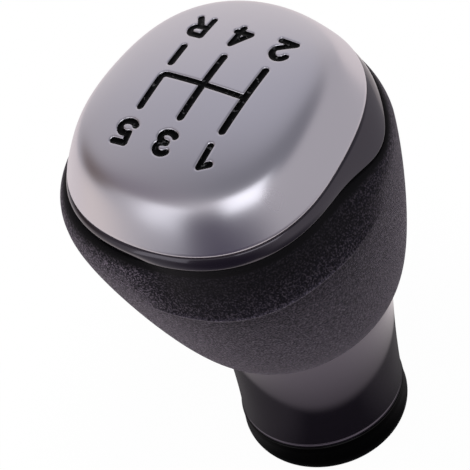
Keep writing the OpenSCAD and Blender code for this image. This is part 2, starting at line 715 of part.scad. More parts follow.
module neck_sleeve() {
    function wall(v, d) = [for (t = turns) neck_point(t, v, d)];
    outer = [for (v = [0, 0.2, 0.4, 0.6, 0.8, 1]) wall(v, 0)];
    inner = [for (v = [1, 0.75, 0.5, 0.25, 0]) wall(v, neck_wall)];
    // Short ribs centre the sleeve on the core's tube
    ribs = 6;
    rib_h = 8;
    rib_bite = 0.5;
    color("#141317") union() {
        loft(concat(outer, inner), looped = true);
        for (i = [0 : ribs - 1]) rotate(i * 360 / ribs)
            translate([collar_in_r, -neck_rib_w / 2, foot_h])
                cube([neck_r - neck_wall + rib_bite - collar_in_r, neck_rib_w, rib_h]);
    }
}
module gaiter_seal() {
    color("#202022") translate([0, 0, foot_h - seal_t]) tube(seal_r, collar_in_r, seal_t);
}
module foot_collar() {
    groove_r = tube_r + clip_bite + fit_gap;
    // The outside is a quarter of an oval up to the widest line, then a slight taper
    bulge_z = 0.55 * foot_h;
    taper = 0.1;
    lip = 0.2;
    rim_arc = [for (a = [-90 : 10 : 0])
        [foot_flat_r + (foot_r - foot_flat_r) * cos(a), bulge_z + bulge_z * sin(a)]];
    color("#0C0C0E") difference() {
        rotate_extrude() polygon(concat(rim_arc,
            [[foot_r - taper, 0.8 * foot_h], [neck_r + lip, foot_h], [foot_hole_r, foot_h],
            [foot_hole_r, 0]]));
        translate([0, 0, foot_lip_t]) cylinder(r = collar_in_r, h = foot_h);
        translate([0, 0, clip_z - fit_gap]) cylinder(r = groove_r, h = clip_t + 2 * fit_gap);
        translate([0, 0, foot_h - seal_t]) cylinder(r = seal_r + fit_gap, h = foot_h);
    }
}
module retaining_ring() {
    color("#B0B2B5") translate([0, 0, clip_z]) difference() {
        tube(tube_r + clip_bite, tube_r - clip_bite + fit_gap, clip_t);
        translate([0, 0, -past]) linear_extrude(clip_t + 2 * past)
            polygon([[0, 0], [tube_r * 2, -tube_r * tan(clip_opening / 2)],
                [tube_r * 2, tube_r * tan(clip_opening / 2)]]);
    }
}

cap_shell();
pattern_enamel();
foam_pad();
ballast_weight();
cap_carrier();
carrier_screws();
trim_ring();
grip_skin();
grip_core();
lever_bush();
damper_sleeve();
bush_washer();
bush_nut();
neck_sleeve();
gaiter_seal();
foot_collar();
retaining_ring();
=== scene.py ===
"""Looks of a manual gear shift knob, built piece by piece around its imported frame.

Sizes are in millimetres, and each mesh is scaled to metres as it is made. The head (cap, ring and
the grip's top) has a frame of its own, tipped forward, with its origin at the crossing of the
shift pattern. Directions round the knob are angles t, 0 along X and 90 degrees at the front.
"""
import math

import bpy
import numpy as np
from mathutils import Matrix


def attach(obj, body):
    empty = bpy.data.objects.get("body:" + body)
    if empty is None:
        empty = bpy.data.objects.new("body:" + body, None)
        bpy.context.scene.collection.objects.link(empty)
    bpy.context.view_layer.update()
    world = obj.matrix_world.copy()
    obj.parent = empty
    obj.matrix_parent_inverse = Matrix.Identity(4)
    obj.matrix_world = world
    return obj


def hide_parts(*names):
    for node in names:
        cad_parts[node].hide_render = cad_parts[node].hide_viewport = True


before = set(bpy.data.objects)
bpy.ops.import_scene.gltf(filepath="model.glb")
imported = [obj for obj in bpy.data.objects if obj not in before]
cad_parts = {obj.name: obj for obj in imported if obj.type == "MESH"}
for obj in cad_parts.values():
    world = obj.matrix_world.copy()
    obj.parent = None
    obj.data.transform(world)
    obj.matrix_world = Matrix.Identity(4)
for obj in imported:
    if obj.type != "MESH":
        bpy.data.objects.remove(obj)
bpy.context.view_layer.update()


# Lever bush: a turned brass insert that grips the gear lever. It is pressed into a rubber
# sleeve, and its stud goes up through the web of the core. Seen only from below.


def to_linear(colour):
    """An sRGB hex colour as linear RGBA: each channel is ((c + 0.055) / 1.055) to the power 2.4,
    or c / 12.92 where it is nearly black."""
    c = np.array([int(colour[i:i + 2], 16) for i in (1, 3, 5)]) / 255
    return (*np.where(c <= 0.04045, c / 12.92, ((c + 0.055) / 1.055) ** 2.4), 1.0)


def add_node(tree, kind, inputs=None, **settings):
    """Adds a node, sets its properties, and sets or links its inputs, named or numbered."""
    made = tree.nodes.new(kind)
    for name, value in settings.items():
        setattr(made, name, value)
    for name, value in (inputs or {}).items():
        if isinstance(value, bpy.types.NodeSocket):
            tree.links.new(value, made.inputs[name])
        else:
            made.inputs[name].default_value = value
    return made


def new_material(name):
    """An empty node material, its output, and the Object coordinates that its patterns read."""
    mat = bpy.data.materials.new(name)
    mat.use_nodes = True
    mat.node_tree.nodes.clear()
    tree = mat.node_tree
    out = add_node(tree, "ShaderNodeOutputMaterial")
    coords = add_node(tree, "ShaderNodeTexCoord").outputs["Object"]
    return mat, tree, out, coords


def per_metre(size_mm):
    """Scale of a texture, in repeats to the metre, whose features are size_mm across."""
    return 1000 / size_mm


def noise(tree, coords, size_mm, detail):
    """Soft noise whose patches are size_mm across."""
    return add_node(tree, "ShaderNodeTexNoise", {"Vector": coords, "Scale": per_metre(size_mm),
                    "Detail": detail})


def principled(tree, out, inputs):
    """Adds the surface of a material with its inputs, and joins it to the output."""
    surface = add_node(tree, "ShaderNodeBsdfPrincipled", inputs)
    tree.links.new(surface.outputs["BSDF"], out.inputs["Surface"])


def dress(node, mat):
    """Gives a solid of the frame a material of its own."""
    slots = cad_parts[node].data.materials
    slots.clear()
    slots.append(mat)


# Turned brass: yellow metal with fine tool rings 0.2 mm apart along the bore. The texture runs
# 20 waves to a repeat.
WAVES = 20
brass, tree, out, coords = new_material("turned_brass")
rings = add_node(tree, "ShaderNodeTexWave", {"Vector": coords, "Scale": per_metre(0.2) / WAVES,
                 "Distortion": 0.4}, wave_type="BANDS", bands_direction="Z")
bump = add_node(tree, "ShaderNodeBump", {"Height": rings.outputs["Fac"], "Strength": 0.15,
                "Distance": 0.00002})
principled(tree, out, {"Base Color": to_linear("#C9AA6B"), "Metallic": 1.0, "Roughness": 0.28,
                       "Normal": bump.outputs["Normal"]})
dress("lever_bush", brass)


# Damper sleeve and gaiter seal: moulded rubber. The sleeve keeps the lever's buzz out of the
# core, and the seal is what the upper edge of the gaiter is pressed on.

# Moulded rubber: black, dull, with a faint bloom in patches 3 mm across
rubber, tree, out, coords = new_material("moulded_rubber")
bloom = noise(tree, coords, 3, 4.0)
shade = add_node(tree, "ShaderNodeMix", {"Factor": bloom.outputs["Fac"],
                 6: to_linear("#1B1B1C"), 7: to_linear("#2B2A2B")}, data_type="RGBA")
principled(tree, out, {"Base Color": shade.outputs[2], "Roughness": 0.75})
dress("damper_sleeve", rubber)
dress("gaiter_seal", rubber)


# Grip core, cap carrier: black glass-filled plastic, moulded with a fine spark-eroded texture.
# The core carries the skin, the neck and the collar, and the carrier is screwed on its top.

# Moulded plastic: black, half dull, with a texture 0.4 mm across
plastic, tree, out, coords = new_material("moulded_black_plastic")
grain = noise(tree, coords, 0.4, 3.0)
bump = add_node(tree, "ShaderNodeBump", {"Height": grain.outputs["Fac"], "Strength": 0.3,
                "Distance": 0.00003})
principled(tree, out, {"Base Color": to_linear("#1E1D20"), "Roughness": 0.5,
                       "Normal": bump.outputs["Normal"]})
dress("grip_core", plastic)
dress("cap_carrier", plastic)


# Nut and washer of the bush, spring clip of the collar, carrier screws and ballast weight: zinc
# plated steel. The ballast is a slug that gives the knob its weight in the hand.

# Zinc plate: bluish grey metal, its sheen broken up in spangles 1.5 mm across
zinc, tree, out, coords = new_material("zinc_plated_steel")
spangle = add_node(tree, "ShaderNodeTexVoronoi", {"Vector": coords, "Scale": per_metre(1.5)})
rough = add_node(tree, "ShaderNodeMapRange", {"Value": spangle.outputs["Distance"],
                 "To Min": 0.26, "To Max": 0.42})
principled(tree, out, {"Base Color": to_linear("#B7BBC0"), "Metallic": 1.0,
                       "Roughness": rough.outputs["Result"]})
for name in ("bush_nut", "bush_washer", "retaining_ring", "carrier_screws", "ballast_weight"):
    dress(name, zinc)


# Foam pad: a disc of open foam, pressed between the ballast and the cap so that neither
# rattles.

# Open foam: dark grey with cells 0.6 mm across
foam, tree, out, coords = new_material("open_foam")
cells = add_node(tree, "ShaderNodeTexVoronoi", {"Vector": coords, "Scale": per_metre(0.6)})
bump = add_node(tree, "ShaderNodeBump", {"Height": cells.outputs["Distance"], "Strength": 0.8,
                "Distance": 0.0003})
shade = add_node(tree, "ShaderNodeMix", {"Factor": cells.outputs["Distance"],
                 6: to_linear("#2E2E31"), 7: to_linear("#5A5A5F")}, data_type="RGBA")
principled(tree, out, {"Base Color": shade.outputs[2], "Roughness": 0.95,
                       "Normal": bump.outputs["Normal"]})
dress("foam_pad", foam)


# Foot collar: a rounded ring of polished near-black plastic. It is pushed over the core's tube,
# a spring clip holds it, and the gaiter's edge is trapped between it and the neck.
FOOT_H, FOOT_R, FOOT_FLAT_R, FOOT_HOLE_R = 8.4, 15.8, 11.4, 9.6
FOOT_LIP_T, TUBE_R, SEAL_R, SEAL_T = 2.0, 12.4, 13.9, 1.2
CLIP_Z, CLIP_T, CLIP_BITE, FIT_GAP = 4.6, 1.2, 0.6, 0.15
NECK_R, NECK_LEDGE, BULGE_SHARE, BORE_ROUND = 15.5, 0.2, 0.55, 0.25
SHOULDER_IN, SHOULDER_SHARE = 0.1, 0.8


def mesh_piece(name, points, faces, mat):
    """A piece from points in millimetres and faces, shaded smooth, on the knob's one body."""
    mesh = bpy.data.meshes.new(name)
    mesh.from_pydata(points * 0.001, [], faces)
    mesh.polygons.foreach_set("use_smooth", np.ones(len(mesh.polygons), bool))
    mesh.materials.append(mat)
    mesh.update()
    piece = bpy.data.objects.new(name, mesh)
    bpy.context.scene.collection.objects.link(piece)
    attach(piece, "root")
    return piece


def band_faces(low, high):
    """Quads between two closed rows of point numbers, which may be stacks of rows."""
    return np.stack([low, np.roll(low, -1, -1), np.roll(high, -1, -1), high], -1).reshape(-1, 4)


def loop_surface(rows):
    """Faces of a closed skin through rows of points round the knob, the last row joined to the
    first. Rows run so that outside rows rise and inside rows fall."""
    numbers = np.arange(rows.shape[0] * rows.shape[1]).reshape(rows.shape[:2])
    return band_faces(numbers, np.roll(numbers, -1, 0))


def rounded(corners, radius, steps=6):
    """A closed outline with its corners rounded. At each corner a quadratic curve runs from a
    point radius before it to a point radius after it, or to a little short of the middle of a
    side that is shorter."""
    c = np.asarray(corners, float)
    to_prev, to_next = np.roll(c, 1, 0) - c, np.roll(c, -1, 0) - c
    len_prev, len_next = (np.linalg.norm(v, axis=1, keepdims=True) for v in (to_prev, to_next))
    most = 1 / 2.2
    start = c + to_prev / len_prev * np.minimum(radius, len_prev * most)
    end = c + to_next / len_next * np.minimum(radius, len_next * most)
    s = np.linspace(0, 1, steps)[None, :, None]
    curve = (1 - s) ** 2 * start[:, None] + 2 * s * (1 - s) * c[:, None] + s ** 2 * end[:, None]
    return curve.reshape(-1, 2)


# The bulge is a quarter of an oval, from the flat underside up to the widest line
arc = np.radians(np.linspace(-90, 0, 28))
bulge_z = BULGE_SHARE * FOOT_H
bulge = np.stack([FOOT_FLAT_R + (FOOT_R - FOOT_FLAT_R) * np.cos(arc),
                  bulge_z + bulge_z * np.sin(arc)], 1)
groove_r = TUBE_R + CLIP_BITE + FIT_GAP
bore_r = TUBE_R + FIT_GAP
inside = rounded([(FOOT_R - SHOULDER_IN, SHOULDER_SHARE * FOOT_H), (NECK_R + NECK_LEDGE, FOOT_H),
                  (SEAL_R + FIT_GAP, FOOT_H), (SEAL_R + FIT_GAP, FOOT_H - SEAL_T),
                  (bore_r, FOOT_H - SEAL_T),
                  (bore_r, CLIP_Z + CLIP_T + FIT_GAP), (groove_r, CLIP_Z + CLIP_T + FIT_GAP),
                  (groove_r, CLIP_Z - FIT_GAP), (bore_r, CLIP_Z - FIT_GAP), (bore_r, FOOT_LIP_T),
                  (FOOT_HOLE_R, FOOT_LIP_T), (FOOT_HOLE_R, 0)], BORE_ROUND, 5)[:-1]
outline = np.concatenate([bulge, inside[2:]])
turn = np.radians(np.arange(256) * 360 / 256)
collar_points = np.stack([outline[:, :1] * np.cos(turn), outline[:, :1] * np.sin(turn),
                          outline[:, 1:] + 0 * turn], -1)

# Polished plastic: nearly black, as smooth as the tool, with faint handling haze
collar_gloss, tree, out, coords = new_material("polished_black_plastic")
haze = noise(tree, coords, 6, 3.0)
rough = add_node(tree, "ShaderNodeMapRange", {"Value": haze.outputs["Fac"],
                 "To Min": 0.1, "To Max": 0.2})
principled(tree, out, {"Base Color": to_linear("#020202"), "Roughness": rough.outputs["Result"],
                       "Specular IOR Level": 0.12})
collar = mesh_piece("collar", collar_points.reshape(-1, 3), loop_surface(collar_points),
                    collar_gloss)
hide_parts("foot_collar")


# Grip skin: soft-touch rubber moulded over the core, black-brown with a fine leather grain. A
# hollow for the fingers lies round its left side under the ring, ended by a soft crease.
KNOB_H, HEAD_Y, HEAD_TILT = 93.9, 6.7, math.radians(5.8)
CAP_R, CAP_FORE, CAP_OVAL, CAP_EGG, CAP_SQUARE = 26.65, 1.0, 1.2, 0.4, 0.7
CAP_DEPTH, SEAM = 11.8, 0.3
RING_FACE_H, RING_OUT, RING_FLARE, FLARE_AT, FLARE_SPREAD = 2.7, 0.4, 2.3, -0.35, 0.31
RING_INSET, SKIN_T, SKIN_LIP, LIP_ROUND = 1.6, 2.2, 0.3, 0.5
GRIP_OUT, GRIP_DROP, RIM_FORE, RIM_SIDES = 2.8, 8.4, 0.65, 1.3
GRIP_FOOT_X, GRIP_FOOT_Y, GRIP_FOOT_BACK, GRIP_FOOT_Z = 21.1, 20.0, 0.8, 38.9
GRIP_FOOT_TILT = math.radians(14.7)
LOW_OUT, LOW_OUT_FORE, LOW_UP, LOW_UP_REAR = 3.9, 2.3, 5.6, 0.5
HIGH_DOWN, HIGH_DOWN_REAR = 8.5, 3.1
SCOOP_D, SCOOP_SAG, SCOOP_SHARE, SCOOP_START, SCOOP_ONSET = 1.6, 0.5, 0.9, 0.12, 0.3
SCOOP_END, SCOOP_FADE, SCOOP_BEHIND = -0.15, 0.5, 0.6
CREASE_SIDE, CREASE_DIP, CREASE_FRONT = 0.88, 0.1, 0.4
BEAD_H, BEAD_W, HIGHLIGHT_W, GRIP_RISE, SCOOP_RISE = 0.12, 0.4, 0.35, 38.0, 12.0
HEM_W, HEM_PALE, SHADE_W, CREASE_SHADE, UNDER_RING_W, UNDER_RING_SHADE = 0.6, 0.6, 7.0, 0.5, 3.0, 1.35
LINE_END, LINE_FADE, SHADE_END, SHADE_FADE = 0.1, 0.5, -0.55, 0.9
LIT_SIDE_AT, LIT_SIDE_END, LIT_SIDE_FADE = math.radians(50), 0.4, 0.5
ROWS_BELOW, ROWS_ABOVE, SKIN_FROM, LIP_TO, LIP_SHARE = 1.7, 1.4, 0.012, 0.004, 0.3
EDGE_Z = -CAP_DEPTH
CORE_TOP_Z = EDGE_Z - GRIP_DROP


def edge_r(t):
    """Radius of the cap's edge: the mean, more at the front, and oval, egg and square parts as
    the cosine or sine of 2, 3 and 4 times t."""
    return (CAP_R + CAP_FORE * np.sin(t) - CAP_OVAL * np.cos(2 * t)
            + CAP_EGG * np.sin(3 * t) - CAP_SQUARE * np.cos(4 * t))


def head(x, y, z):
    """A point of the head's frame, tipped forward and carried to its place over the lever."""
    x, y, z = np.broadcast_arrays(x, y, z)
    cos, sin = math.cos(HEAD_TILT), math.sin(HEAD_TILT)
    return np.stack([x, HEAD_Y + y * cos + z * sin, KNOB_H - y * sin + z * cos], -1)


def on_head(r, t, z):
    """The same for a point at radius r, direction t and height z."""
    return head(r * np.cos(t), r * np.sin(t), z)


def flare(t):
    """Side flares of the ring: a bell curve in the sine of t, 1 a little behind each side."""
    return np.exp(-((np.sin(t) - FLARE_AT) / FLARE_SPREAD) ** 2)


def ring_edge_r(t):
    """Radius of the ring's lower edge, which stands out most at the flares."""
    return edge_r(t) + RING_OUT + RING_FLARE * flare(t)


def ring_edge_z(t):
    """Height of the ring's lower edge, which hangs lowest at the flares."""
    return EDGE_Z - RING_FACE_H - RING_FLARE * flare(t)


def ease(x):
    """0 below 0, 1 above 1, and the smooth cubic 3x^2 - 2x^3 between."""
    c = np.clip(x, 0, 1)
    return c * c * (3 - 2 * c)


def outward(t):
    """Unit vectors level and away from the lever."""
    return np.stack([np.cos(t), np.sin(t), 0 * t], -1)


def upward(z):
    """Vectors straight up, z long."""
    return np.stack([0 * z, 0 * z, z], -1)


def rim_r(t):
    """Radius of the grip's widest line: the cap's edge and a mean step out from it, with a part
    as the sine of t and one as the cosine of 2 t."""
    return edge_r(t) + GRIP_OUT + RIM_FORE * np.sin(t) + RIM_SIDES * np.cos(2 * t)


def grip_point(t, v):
    """Side curve of the grip: a cubic from the lower edge (v = 0), which it leaves outwards and
    upwards, to the widest line (v = 1), where it arrives straight up."""
    v = v[..., None]
    y = GRIP_FOOT_Y * np.sin(t) - GRIP_FOOT_BACK
    foot = np.stack([GRIP_FOOT_X * np.cos(t), y, GRIP_FOOT_Z - y * math.tan(GRIP_FOOT_TILT)], -1)
    low = (foot + (LOW_OUT + LOW_OUT_FORE * np.sin(t))[..., None] * outward(t)
           + upward(LOW_UP - LOW_UP_REAR * np.sin(t)))
    rim = on_head(rim_r(t), t, CORE_TOP_Z)
    high = rim - upward(HIGH_DOWN - HIGH_DOWN_REAR * np.sin(t))
    return ((1 - v) ** 3 * foot + 3 * v * (1 - v) ** 2 * low
            + 3 * v * v * (1 - v) * high + v ** 3 * rim)


def shoulder(t, a):
    """Quarter of an oval from the widest line (a = 0) in to the ring's lower edge."""
    r_in, z_in = ring_edge_r(t) - SKIN_LIP, ring_edge_z(t) - SEAM
    return on_head(r_in + (rim_r(t) - r_in) * np.cos(a), t,
                   CORE_TOP_Z + (z_in - CORE_TOP_Z) * np.sin(a))


def on_left(t):
    """1 on the knob's left side and 0 on its right, with a soft step in front and behind."""
    return ease((SCOOP_START - np.cos(t)) / SCOOP_ONSET)


def scooped(t):
    """Depth of the finger hollow round the knob, from 0 to 1."""
    return on_left(t) * ease((np.sin(t) - SCOOP_END) / SCOOP_FADE)


def crease_v(t):
    """Share of the side curve at which the crease lies. It dips towards the front."""
    return CREASE_SIDE - CREASE_DIP * ease((np.sin(t) - CREASE_FRONT) / (1 - CREASE_FRONT))


def full_skin(t, q):
    """The skin above the crease, left full: q is 0 at the crease, 1 at the widest line and 2 at
    the ring."""
    below = grip_point(t, crease_v(t) + np.minimum(q, 1) * (1 - crease_v(t)))
    above = shoulder(t, np.pi / 2 * (np.maximum(q, 1) - 1))
    return np.where((q < 1)[..., None], below, above)


def upper_skin(t, q):
    """The skin above the crease: where it is scooped it leaves the full shape for a chord from
    the crease to the ring, sagging inwards as a half sine."""
    full, low, high = full_skin(t, q), full_skin(t, 0 * q), full_skin(t, 0 * q + 2)
    sag = (SCOOP_SAG * np.sin(np.pi / 2 * q))[..., None] * outward(t)
    chord = low + (high - low) * (q / 2)[..., None] - sag
    return full + (chord - full) * (scooped(t) * SCOOP_SHARE)[..., None]


def grip_in(t, v, d):
    """The side curve drawn in by d, and more behind the hollow, along the end planes' slopes."""
    draw = d + SCOOP_D * scooped(t) * ease((v - SCOOP_BEHIND) / (1 - SCOOP_BEHIND))
    slope = (1 - v) * math.tan(GRIP_FOOT_TILT) + v * math.tan(HEAD_TILT)
    return grip_point(t, v) - draw[..., None] * outward(t) + upward(draw * np.sin(t) * slope)


def along_crease(t, away, width):
    """A soft line on the crease: a bell curve of the distance from it in millimetres, fading out
    towards the knob's left side."""
    return (scooped(t) * ease((np.sin(t) - LINE_END) / LINE_FADE)
            * np.exp(-(away / width) ** 2))


def bead(t, away):
    """The low bead on the crease, as a step outwards."""
    return (BEAD_H * along_crease(t, away, BEAD_W))[..., None] * outward(t)


# The skin runs from the lip at its foot up to the crease, on to the ring, and back down inside.
# Its rows lie closer towards the crease, from below and from above.
around = np.radians(np.arange(360.0))
t, s = np.meshgrid(around, np.linspace(0, 1, 90))
below = (1 - s) ** ROWS_BELOW
v = crease_v(t) - below * (crease_v(t) - SKIN_FROM)
below_crease = grip_point(t, v) + bead(t, below * GRIP_RISE)
t, s = np.meshgrid(around, np.linspace(0, 1, 90)[1:])
above = s ** ROWS_ABOVE
above_crease = upper_skin(t, 2 * above) + bead(t, above * SCOOP_RISE)
t, q = np.meshgrid(around, np.linspace(0, 1, 5)[1:])
lip_top = on_head(edge_r(t) - (RING_INSET - FIT_GAP), t,
                  ring_edge_z(t) - SEAM + (CORE_TOP_Z - ring_edge_z(t) + SEAM) * q)
t, v = np.meshgrid(around, np.linspace(1, 0, 24))
skin_inside = grip_in(t, v, SKIN_T + 0 * t)
t, v = np.meshgrid(around, [0.0, LIP_TO])
skin_lip = grip_in(t, v, np.array([[LIP_ROUND], [LIP_ROUND * LIP_SHARE]]) + 0 * t)
skin_points = np.concatenate([skin_lip, below_crease, above_crease, lip_top, skin_inside])

# Soft-touch rubber: dull black with a violet cast, in a leather grain of pebbles 0.5 mm across.
# The real ones are nearer 0.4 mm, drawn coarser so that they show. Their tops carry pale scuffs
# 0.34 mm across, with more on the knob's lit left side as painted light. They are also painted
# lighter on the crease as a painted highlight, and on the lower hem. The hollow, the crease and
# the strip under the ring are painted darker, as painted shade.
soft_touch, tree, out, coords = new_material("soft_touch_leather_grain")
warp = noise(tree, coords, 1.6, 2.0)
shift = add_node(tree, "ShaderNodeVectorMath", {0: warp.outputs["Color"], 3: 0.0008},
                 operation="SCALE")
warped = add_node(tree, "ShaderNodeVectorMath", {0: coords, 1: shift.outputs[0]},
                  operation="ADD")
pebbles = add_node(tree, "ShaderNodeTexVoronoi", {"Vector": warped.outputs[0],
                   "Scale": per_metre(0.5)}, feature="DISTANCE_TO_EDGE")
tops = add_node(tree, "ShaderNodeMapRange", {"Value": pebbles.outputs["Distance"],
                "From Max": 0.35})
# The hollow share is painted shade: the finger hollow, the crease and the strip under the ring are
# painted darker
hollow = add_node(tree, "ShaderNodeAttribute", attribute_name="hollow")
relief = add_node(tree, "ShaderNodeMapRange", {"Value": hollow.outputs["Fac"], "To Min": 0.95,
                  "To Max": 0.3})
bump = add_node(tree, "ShaderNodeBump", {"Height": tops.outputs["Result"],
                "Strength": relief.outputs["Result"], "Distance": 0.00008})
patches = noise(tree, coords, 9, 3.0)
worn = add_node(tree, "ShaderNodeMix", {"Factor": patches.outputs["Fac"],
                6: to_linear("#27242F"), 7: to_linear("#34303D")}, data_type="RGBA")
shade = add_node(tree, "ShaderNodeMix", {"Factor": tops.outputs["Result"],
                 6: to_linear("#0D0B0F"), 7: worn.outputs[2]}, data_type="RGBA")
# Pale scuffs in the grain, with more of them on the knob's lit left side, as painted light
scuffs = noise(tree, coords, 0.34, 1.0)
lit_side = add_node(tree, "ShaderNodeAttribute", attribute_name="lit_side")
most = add_node(tree, "ShaderNodeMapRange", {"Value": lit_side.outputs["Fac"], "To Min": 0.42,
                "To Max": 1.0})
scuffs = add_node(tree, "ShaderNodeMapRange", {"Value": scuffs.outputs["Fac"],
                  "From Min": 0.48, "From Max": 0.68, "To Max": most.outputs["Result"]})
shade = add_node(tree, "ShaderNodeMix", {"Factor": scuffs.outputs["Result"],
                 6: shade.outputs[2], 7: to_linear("#8A7F8A")}, data_type="RGBA")
crease_highlight_and_hem = add_node(tree, "ShaderNodeAttribute", attribute_name="crease_highlight_and_hem")
# Painted shade: the skin is darkened towards near black by the hollow share
painted_shade = add_node(tree, "ShaderNodeMath", {0: hollow.outputs["Fac"], 1: 0.8},
                operation="MULTIPLY")
shade = add_node(tree, "ShaderNodeMix", {"Factor": painted_shade.outputs[0], 6: shade.outputs[2],
                 7: to_linear("#0B0A0C")}, data_type="RGBA")
# Painted highlight: the pebble tops are lightened along the crease, and along the lower hem
pale = add_node(tree, "ShaderNodeMath", {0: crease_highlight_and_hem.outputs["Fac"], 1: tops.outputs["Result"]},
                operation="MULTIPLY")
shade = add_node(tree, "ShaderNodeMix", {"Factor": pale.outputs[0], 6: shade.outputs[2],
                 7: to_linear("#6A6370")}, data_type="RGBA")
principled(tree, out, {"Base Color": shade.outputs[2], "Roughness": 0.65,
                       "Specular IOR Level": 0.1, "Sheen Weight": 0.34, "Sheen Roughness": 0.3,
                       "Sheen Tint": to_linear("#EADDE6"), "Normal": bump.outputs["Normal"]})
skin = mesh_piece("skin", skin_points.reshape(-1, 3), loop_surface(skin_points), soft_touch)
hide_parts("grip_skin")
# Shares at the points: how dark the painted shade makes the hollow, the crease and the strip under
# the ring, how light the painted highlight makes the crease and the hem, and how much painted
# light the knob's lit left side has
deep = on_left(around) * ease((np.sin(around) - SHADE_END) / SHADE_FADE)
lit_side_share = ease((np.cos(around - LIT_SIDE_AT) - LIT_SIDE_END) / LIT_SIDE_FADE)
from_ring = (1 - above) * SCOOP_RISE
for name, low_rows, high_rows, lip_row in (
        ("hollow", CREASE_SHADE * np.exp(-below * GRIP_RISE / SHADE_W) * deep,
         np.maximum((CREASE_SHADE + (1 - CREASE_SHADE) * ease(1.5 * above)) * deep,
                    UNDER_RING_SHADE * np.exp(-(from_ring / UNDER_RING_W) ** 4)), deep),
        ("crease_highlight_and_hem", along_crease(around, below * GRIP_RISE, HIGHLIGHT_W)
         + HEM_PALE * np.exp(-((1 - below) * GRIP_RISE / HEM_W) ** 2),
         along_crease(around, above * SCOOP_RISE, HIGHLIGHT_W), 0 * around),
        ("lit_side", lit_side_share, lit_side_share, lit_side_share)):
    shares = np.zeros(skin_points.shape[:2])
    start = len(skin_lip)
    shares[start:start + len(below)] = low_rows
    start += len(below)
    shares[start:start + len(above)] = high_rows
    start += len(above)
    shares[start:start + len(lip_top)] = lip_row
    skin.data.attributes.new(name, "FLOAT", "POINT").data.foreach_set("value", shares.ravel())


# Neck sleeve: a flared tube of gloss black plastic between the collar and the grip. It slides
# over the core's tube, and six short ribs inside keep it in the middle.
NECK_TOP_R, NECK_LEAN, NECK_OVAL, NECK_WALL = 17.6, 2.8, 0.6, 1.8
BAND_OUT, RIB_W, RIB_H, RIB_BITE, RIBS = 0.3, 1.6, 8.0, 0.5, 6
BAND_AT, BAND_RISE, BAND_TOP, BAND_FADE = 0.95, 0.01, 0.957, 0.8
FOOT_ROLL, FOOT_ROLL_W = 0.1, 0.45


def neck_point(t, v, d):
    """The sleeve at share v of its height, drawn in by d: its radius grows with the square of v,
    a little more sideways, and it leans back up to the grip's sloping lower edge."""
    half_y = NECK_R + (NECK_TOP_R - NECK_R) * v * v - d
    half_x = half_y + NECK_OVAL * v * v
    y = half_y * np.sin(t) - NECK_LEAN * v
    top = GRIP_FOOT_Z - y * math.tan(GRIP_FOOT_TILT)
    return np.stack([half_x * np.cos(t), y, FOOT_H + v * (top - FOOT_H)], -1)


def boxes(lows, highs):
    """Points and outward faces of square blocks, given their low and high corners."""
    bits = np.array([[i & 1, i >> 1 & 1, i >> 2] for i in range(8)])
    lows, highs = (np.asarray(c, float)[:, None] for c in (lows, highs))
    sides = np.array([(0, 2, 3, 1), (4, 5, 7, 6), (0, 1, 5, 4), (2, 6, 7, 3), (0, 4, 6, 2),
                      (1, 3, 7, 5)])
    faces = sides[None] + 8 * np.arange(len(lows))[:, None, None]
    return (lows + (highs - lows) * bits).reshape(-1, 3), faces.reshape(-1, 4)


def turned(points, angles, size):
    """Copies of a set of points, turned about Z by each angle. size is the points in a set."""
    p = points.reshape(len(angles), size, 3)
    cos, sin = np.cos(angles)[:, None], np.sin(angles)[:, None]
    return np.stack([p[..., 0] * cos - p[..., 1] * sin, p[..., 0] * sin + p[..., 1] * cos,
                     p[..., 2]], -1).reshape(-1, 3)


# A low roll ends the foot, and a band stands out at the top, where the grip covers all but its
# step. Rows lie closer there.
levels = np.concatenate([np.linspace(0, 0.035, 15), np.linspace(0.05, 0.92, 58),
                         np.linspace(0.925, 1, 31)])
t, v = np.meshgrid(around, levels)
band = (BAND_OUT * ease((v - BAND_AT) / BAND_RISE)
        * (1 - BAND_FADE * ease((v - BAND_TOP) / (1 - BAND_TOP))))
rise = v * (GRIP_FOOT_Z - FOOT_H)
roll = FOOT_ROLL * np.maximum(1 - (rise / FOOT_ROLL_W - 1) ** 2, 0)
outer = neck_point(t, v, -band - roll)
t, v = np.meshgrid(around, np.linspace(1, 0, 14))
inner = neck_point(t, v, NECK_WALL)
neck_points = np.concatenate([outer, inner])
rib_low, rib_high = bore_r, NECK_R - NECK_WALL + RIB_BITE
rib_points, rib_faces = boxes([[rib_low, -RIB_W / 2, FOOT_H]] * RIBS,
                              [[rib_high, RIB_W / 2, FOOT_H + RIB_H]] * RIBS)
rib_points = turned(rib_points, np.radians(np.arange(RIBS) * 360 / RIBS), 8)
count = neck_points.shape[0] * neck_points.shape[1]

# Gloss plastic: black, injection moulded against a polished tool and lacquered. Its sheen varies
# in ripples 15 mm across.
gloss, tree, out, coords = new_material("gloss_black_plastic")
ripple = noise(tree, coords, 15, 1.0)
rough = add_node(tree, "ShaderNodeMapRange", {"Value": ripple.outputs["Fac"],
                 "To Min": 0.04, "To Max": 0.09})
principled(tree, out, {"Base Color": to_linear("#110C13"), "Roughness": rough.outputs["Result"],
                       "IOR": 1.75, "Specular Tint": to_linear("#E6D8F6"), "Coat Weight": 0.4,
                       "Coat IOR": 1.6, "Coat Roughness": 0.04})
neck = mesh_piece("neck", np.concatenate([neck_points.reshape(-1, 3), rib_points]),
                  np.concatenate([loop_surface(neck_points), rib_faces + count]), gloss)
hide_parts("neck_sleeve")


